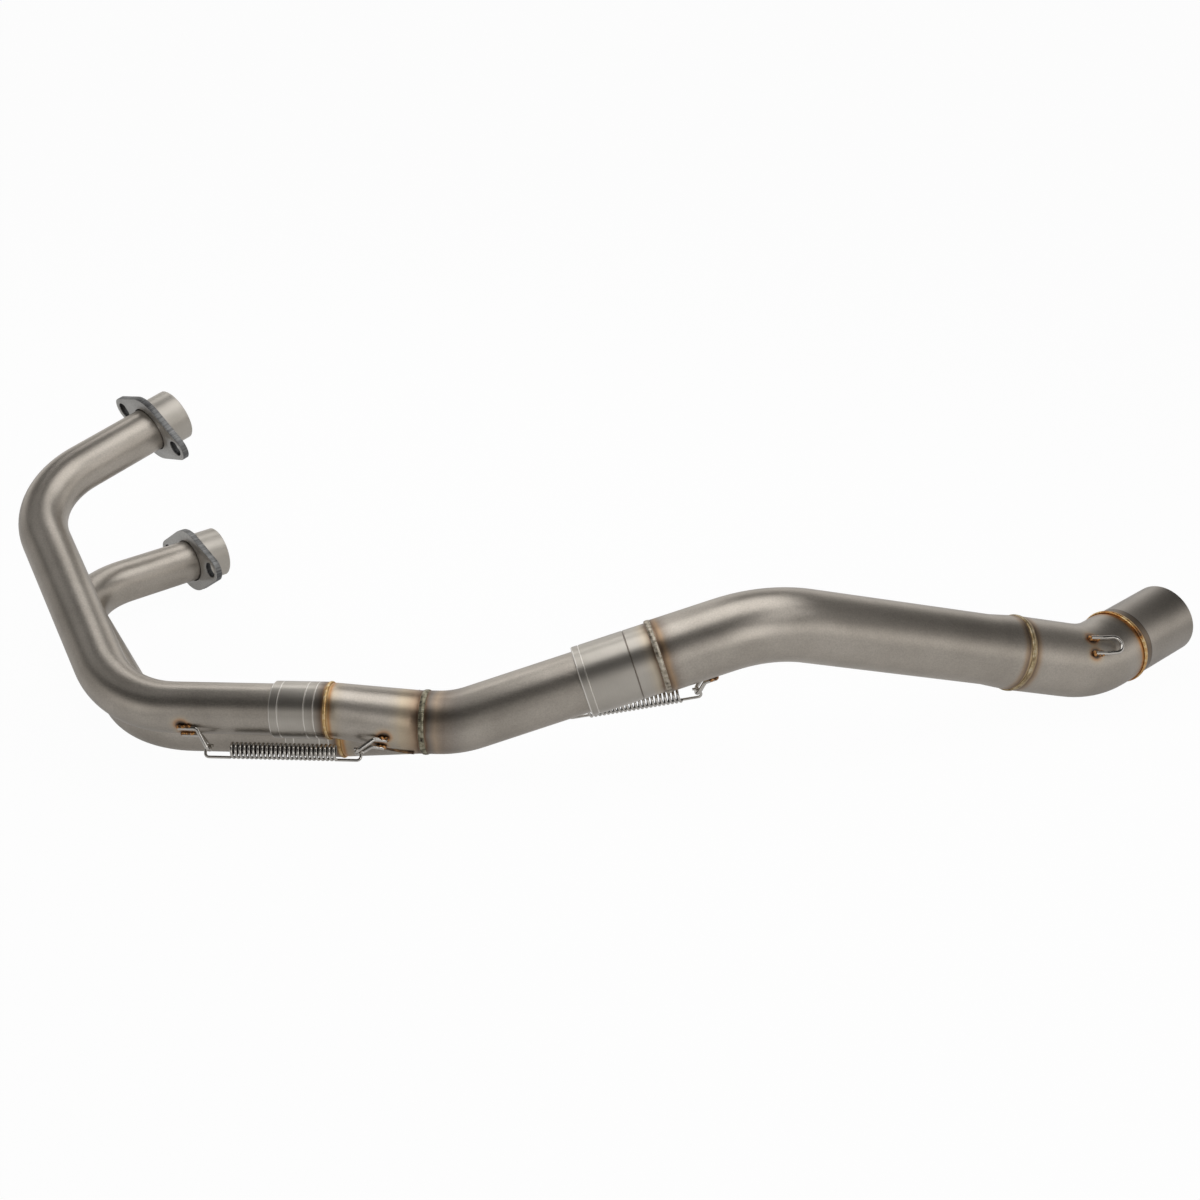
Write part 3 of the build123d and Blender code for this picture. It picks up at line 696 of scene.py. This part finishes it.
branch = {"radius": 17.7 * mm, "collar": 4 * mm, "steps": 14}
for side, sign in legSigns.items():
    collarRun = collectorAxis * branch["collar"]
    leg = startRing(side + "Branch", sleeveWelds[side], collectorAxis, branch["radius"], pipes["sides"])
    drawOut(collarRun)
    drawTaper(sleeveWelds[side] + collarRun, outletStart - collarRun, branch["radius"], pipes["outlet"],
              branch["steps"])
    drawOut(collarRun)
    bpy.ops.mesh.select_all(action="SELECT")
    bpy.ops.mesh.normals_make_consistent(inside=False)
    bpy.ops.mesh.bisect(plane_co=mouth, plane_no=pairAxis * sign, clear_inner=True)
    finishTube(side + "Branch", leg, side + "_collector_branch", [sleeveTints[side], collectorTint])
print("collector done")


# Weld beads: one puddle, set round the joint again and again

weldMetal = {"span": (0.28, 0.72), "detail": 4.0, "rough": (0.22, 0.5)}
puddles = {"segments": 12, "rings": 6, "startSide": (0.3, 0.2, 1)}


def weldFinish(name, look):
    finish, tree, shader, place = newMetal(name)
    patch = nodeAt(tree, "TexNoise", Scale=look["patch"], Detail=weldMetal["detail"])
    feed(tree, patch.inputs["Vector"], place)
    low, high = weldMetal["span"]
    gap = (high - low) / (len(look["colours"]) - 1)
    ramp = colourRamp(tree, patch.outputs["Fac"], [
        (low + gap * index, colour, 1) for index, colour in enumerate(look["colours"])])
    feed(tree, shader.inputs["Base Color"], ramp.outputs["Color"])
    feed(tree, shader.inputs["Roughness"], mapRange(tree, patch.outputs["Fac"], target=weldMetal["rough"]))
    return finish


def weldBead(name, centre, axis, radius, puddle):
    deselectAll()
    out = squareTo(axis, puddles["startSide"])
    puddleTurn = Matrix((axis.cross(out), axis, out)).transposed().to_euler()
    bpy.ops.mesh.primitive_uv_sphere_add(
        segments=puddles["segments"], ring_count=puddles["rings"], radius=1, location=centre + out * radius,
        rotation=puddleTurn, scale=(puddle["long"], puddle["wide"], puddle["high"]))
    bead = takeUp(name)
    editAll()
    count = round(2 * pi * radius / puddle["step"])
    bpy.ops.mesh.spin(steps=count - 1, dupli=True, angle=2 * pi * (count - 1) / count, center=centre,
                      axis=axis)
    bpy.ops.object.mode_set(mode="OBJECT")
    smoothOver(bead, creases["bead"])
    return bead


narrowPuddle = {"long": 1.0 * mm, "wide": 1.05 * mm, "high": 0.6 * mm, "step": 1.0 * mm}
flatPuddle = {"long": 1.3 * mm, "wide": 2.0 * mm, "high": 0.7 * mm, "step": 1.25 * mm}
fullPuddle = {"long": 1.2 * mm, "wide": 1.7 * mm, "high": 0.75 * mm, "step": 1.2 * mm}
goldWeld = {"patch": 220.0, "colours": (heatAndGlint["bronze"], heatAndGlint["gold"], (0.88, 0.74, 0.50))}
oliveWeld = {"patch": 300.0, "colours": (heatAndGlint["black"], (0.26, 0.24, 0.17), (0.50, 0.47, 0.36))}
silverWeld = {"patch": 330.0, "colours": (heatAndGlint["black"], (0.40, 0.35, 0.28), (0.66, 0.61, 0.52))}
bronzeWeld = {"patch": 240.0, "colours": (heatAndGlint["brown"], (0.42, 0.33, 0.19), (0.66, 0.58, 0.43))}
orangeWeld = {"patch": 180.0, "colours": (heatAndGlint["brown"], heatAndGlint["orange"], heatAndGlint["gold"], (0.88, 0.74, 0.48))}
brownSeam = {"patch": 240.0, "colours": (heatAndGlint["black"], heatAndGlint["brown"], heatAndGlint["bronze"])}
sleeveBead = (collectorAxis, 18.2 * mm, goldWeld, narrowPuddle)
welds = {
    "leftSleeveWeld": ("left_sleeve_weld", sleeveWelds["left"], *sleeveBead),
    "rightSleeveWeld": ("right_sleeve_weld", sleeveWelds["right"], *sleeveBead),
    "collectorWeld": ("collector_weld", outletStart, collectorAxis, 20.5 * mm, oliveWeld, flatPuddle),
    "linkSleeveWeld": ("link_sleeve_weld", linkStart, outletAxis, 24.1 * mm, silverWeld, flatPuddle),
    "elbowWeld": ("elbow_weld", elbowStart, linkAxis, 26.0 * mm, bronzeWeld, fullPuddle),
    "tailWeld": ("tail_weld", tailStart, tailAxis, 26.5 * mm, orangeWeld, fullPuddle),
}
for name, (node, centre, axis, radius, look, puddle) in welds.items():
    bead = weldBead(name, centre, axis, radius, puddle)
    settle(bead, node, pipework, weldFinish(name + "Metal", look))
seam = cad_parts["collector_seam"]  # the CAD's own seam stays, in weld metal
seam.data.materials.clear()
seam.data.materials.append(weldFinish("seamMetal", brownSeam))
print("welds done")


# Tension springs and the wire hooks that they pull on

brightWire = {"dark": (0.50, 0.475, 0.44), "light": (0.64, 0.61, 0.57), "fleck": 0.9, "rough": (0.10, 0.18),
              "bump": 0.05, "cloudScale": 120.0}
wireFinish = steelFinish("hookWire", brightWire)
burntTack = {"patch": 500.0, "colours": (heatAndGlint["black"], heatAndGlint["brown"], heatAndGlint["orange"], (0.5, 0.42, 0.34))}
tackFinish = weldFinish("burntTack", burntTack)
tackHalo = {"ragged": 2.5, "stops": (
    (0, "black", 0.95), (2.6, "black", 0.9), (3.6, "brown", 0.85), (4.8, "orange", 0.5), (6.5, "straw", 0.3),
    (10, "steel", 0.0))}
springs = {"coil": 4.6 * mm, "wire": 0.9 * mm, "pitch": 2.88 * mm, "loop": 2.7 * mm, "loopEnd": 2 * mm,
           "loopBend": 2.6 * mm, "standoff": 27.0 * mm, "linkStandoff": 31.8 * mm,
           "sides": 12, "coilSteps": 28, "bendStep": 10}
hooks = {"wire": 1.4 * mm, "half": 4.6 * mm, "turn": 3.6 * mm, "knee": 3 * mm, "leg": 8 * mm,
         "headerLeg": 12 * mm, "pipeReach": 6.5 * mm, "sleeveReach": 7 * mm, "seat": 0.05 * mm,
         "sides": 16, "bendStep": 8}
tacks = {"radius": 2.0 * mm, "places": (0.6 * mm, 3.4 * mm, 6.4 * mm), "sink": 0.6 * mm,
         "shape": (1.1, 1.15, 0.8), "haloPlace": 2 * mm, "segments": 16, "rings": 10}


def loopAxis(along, out):
    return along.cross(squareTo(along, out))


def woundCoil(name, start, axes, coils):
    deselectAll()
    bpy.ops.mesh.primitive_circle_add(vertices=springs["sides"], radius=springs["wire"],
                                      location=(springs["coil"], 0, 0), rotation=(pi / 2, 0, 0))
    coil = takeUp(name)
    wind = coil.modifiers.new("wind", "SCREW")
    wind.axis = "Z"
    wind.angle = 2 * pi
    wind.screw_offset = springs["pitch"]
    wind.iterations = coils
    wind.steps = wind.render_steps = springs["coilSteps"]
    applyAll(coil)
    coil.matrix_world = Matrix.Translation(start) @ Matrix(axes).transposed().to_4x4()
    bpy.ops.object.transform_apply(location=True, rotation=True, scale=True)
    bpy.ops.object.mode_set(mode="EDIT")
    capEnds()
    cleanMesh()
    return coil


def tensionSpring(name, start, end, coils, out):
    along = (end - start).normalized()
    across = loopAxis(along, out)
    sideways = across.cross(along)
    first = ((end - start).length - coils * springs["pitch"]) / 2
    coil = woundCoil(name, start + along * first, (sideways, across, along), coils)
    # the wire is given painted shade on the inside of the coil
    coil.data.materials.append(steelFinish(name + "Wire", dict(brightWire, coil=(
        start, along, springs["coil"] - springs["wire"], springs["coil"] + springs["wire"] / 2))))
    parts = [coil]
    for base, way in ((start, along), (end, -along)):
        corners = [(first + springs["pitch"] / 4, springs["coil"]), (-springs["loop"], springs["coil"]),
                   (-springs["loop"], -springs["loop"]), (springs["loopEnd"], -springs["loop"])]
        bendLine = [base + way * x + sideways * y for x, y in corners]
        loop = bentTube(name + "Loop", bendLine, [springs["loopBend"]] * 2, springs["wire"],
                        springs["sides"], springs["bendStep"])
        capEnds()
        cleanMesh()
        loop.data.materials.append(wireFinish)
        parts.append(loop)
    spring = joinAll(parts)
    smoothOver(spring, creases["wire"])
    settle(spring, name, pipework)


def tackLump(name, place, turn):
    deselectAll()
    bpy.ops.mesh.primitive_uv_sphere_add(segments=tacks["segments"], ring_count=tacks["rings"],
                                         radius=tacks["radius"], location=place, rotation=turn,
                                         scale=tacks["shape"])
    lump = takeUp(name)
    lump.data.materials.append(tackFinish)
    return lump


def wireHook(name, tube, foot, ahead, out, radius, leg, anchor, barAxis, shape=hooks):
    # two legs lie on the tube from the foot ahead, and the bar between them runs through the anchor
    side = out.cross(ahead)
    half, turn = shape["half"], shape["turn"]
    height = sqrt((radius + hooks["wire"] + hooks["seat"]) ** 2 - half ** 2) - radius
    origin = foot + out * radius
    legs = [origin + ahead * x + side * y + out * height
            for x, y in ((0, -half), (leg, -half), (leg, half), (0, half))]
    bar = barAxis * (half if barAxis.dot(side) > 0 else -half)
    corners = [legs[0], legs[1], anchor - bar, anchor + bar, legs[2], legs[3]]
    hook = bentTube(name, corners, [hooks["knee"], turn, turn, hooks["knee"]], hooks["wire"],
                    hooks["sides"], hooks["bendStep"])
    capEnds()
    cleanMesh()
    hook.data.materials.append(wireFinish)
    parts = [hook]
    lumpTurn = Matrix((ahead, side, out)).transposed().to_euler()
    lumps = tacks["places"] if leg > hooks["leg"] else tacks["places"][:-1]  # a long leg has one more
    for tip in (legs[0], legs[3]):
        scorch = tip + ahead * tacks["haloPlace"] - out * hooks["wire"]
        tubes[tube][2].append(dict(tackHalo, centre=scorch))
        for past in lumps:
            parts.append(tackLump(name + "Tack", tip + ahead * past - out * tacks["sink"], lumpTurn))
    hook = joinAll(parts)
    smoothOver(hook, creases["wire"])
    settle(hook, name, pipework)


def legAt(sign, place):  # a collector leg's centre and radius, so far from the collector's mouth
    leanStart = joints["sleeveLength"] + branch["collar"]
    share = (place - leanStart) / (routes["collectorLength"] - branch["collar"] - leanStart)
    centre = mouth + collectorAxis * place + pairAxis * sign * routes["pairSpacing"] / 2 * (1 - share)
    return centre, branch["radius"] + (pipes["outlet"] - branch["radius"]) * share


springSides = {"left": ((0, -0.68, -0.73), (0, -0.87, -0.49)), "right": ((0, 1, 0.15), (0, 1, 0.15))}
headerSprings = {"frontPlace": -40.5 * mm, "rearPlace": 54.8 * mm, "coils": 24}
for side, sign in legSigns.items():
    springSide, hookSide = springSides[side]
    springLine = sleeveMouths[side] + squareTo(collectorAxis, springSide) * springs["standoff"]
    barAxis = loopAxis(collectorAxis, springSide)
    front = springLine + collectorAxis * headerSprings["frontPlace"]
    rear = springLine + collectorAxis * headerSprings["rearPlace"]
    tensionSpring(side + "_header_spring", front, rear, headerSprings["coils"], springSide)

    footPlace = headerSprings["frontPlace"] - hooks["pipeReach"] - hooks["headerLeg"]
    wireHook(side + "_header_hook", side + "Header", sleeveMouths[side] + collectorAxis * footPlace,
             collectorAxis, squareTo(collectorAxis, hookSide), pipes["header"], hooks["headerLeg"],
             front, barAxis)

    tipPlace = headerSprings["rearPlace"] + hooks["sleeveReach"]
    footPlace = tipPlace + hooks["leg"]
    tip = legAt(sign, tipPlace)[0]
    foot, legRadius = legAt(sign, footPlace)
    leanAxis = (foot - tip).normalized()
    out = squareTo(leanAxis, springLine + collectorAxis * footPlace - foot)
    wireHook(side + "_collector_hook", side + "Branch", foot, -leanAxis, out, legRadius, hooks["leg"],
             rear, barAxis)

linkSpring = {"far": (0, 0.88, -0.47), "under": (0, -0.47, -0.88), "outletTurn": radians(36),
              "linkTurn": radians(72), "outletPlace": 71 * mm, "linkPlace": 153.5 * mm, "coils": 22}
farSide = squareTo(outletAxis, linkSpring["far"])
underSide = squareTo(outletAxis, linkSpring["under"])
outletOut = swing(farSide, underSide, linkSpring["outletTurn"])
linkOut = swing(farSide, underSide, linkSpring["linkTurn"])
front = outletBend + outletAxis * linkSpring["outletPlace"] + outletOut * springs["linkStandoff"]
rear = outletBend + outletAxis * linkSpring["linkPlace"] + linkOut * springs["linkStandoff"]
tensionSpring("link_spring", front, rear, linkSpring["coils"], outletOut + linkOut)
barAxis = loopAxis((rear - front).normalized(), outletOut + linkOut)
foot = outletBend + outletAxis * (linkSpring["outletPlace"] - hooks["pipeReach"] - hooks["leg"])
wireHook("outlet_hook", "outletPipe", foot, outletAxis, outletOut, pipes["outlet"], hooks["leg"],
         front, barAxis)
foot = outletBend + outletAxis * (linkSpring["linkPlace"] + hooks["sleeveReach"] + hooks["leg"])
wireHook("link_hook", "linkPipe", foot, -outletAxis, linkOut, pipes["link"], hooks["leg"],
         rear, barAxis)

tailHook = {"side": (0, -0.62, 0.78), "leg": 10 * mm, "reach": 13 * mm, "lift": 3.5 * mm, "before": 10 * mm,
            "half": 5.8 * mm, "turn": 5.6 * mm}
inward = (tailAxis - linkAxis).normalized()
middleWay = (linkAxis + tailAxis).normalized()
bendCentre = routes["elbowBend"] + inward * routes["elbowRadius"] / cos(linkAxis.angle(tailAxis) / 2)
before = tailHook["before"] / routes["elbowRadius"]  # the hook sits short of the bend's middle
hookWay = swing(middleWay, -inward, before)
hookPlace = bendCentre - swing(inward, middleWay, before) * routes["elbowRadius"]
out = squareTo(hookWay, tailHook["side"])
foot = hookPlace - hookWay * tailHook["leg"] / 2
anchor = foot + out * (pipes["elbow"] + tailHook["lift"]) + hookWay * (tailHook["leg"] + tailHook["reach"])
wireHook("tail_hook", "elbow", foot, hookWay, out, pipes["elbow"], tailHook["leg"], anchor,
         out.cross(hookWay), tailHook)
print("springs and hooks done")

for name, (tube, look, tints) in tubes.items():
    tube.data.materials.append(steelFinish(name + "Steel", look, tints))
print("tubes dressed")
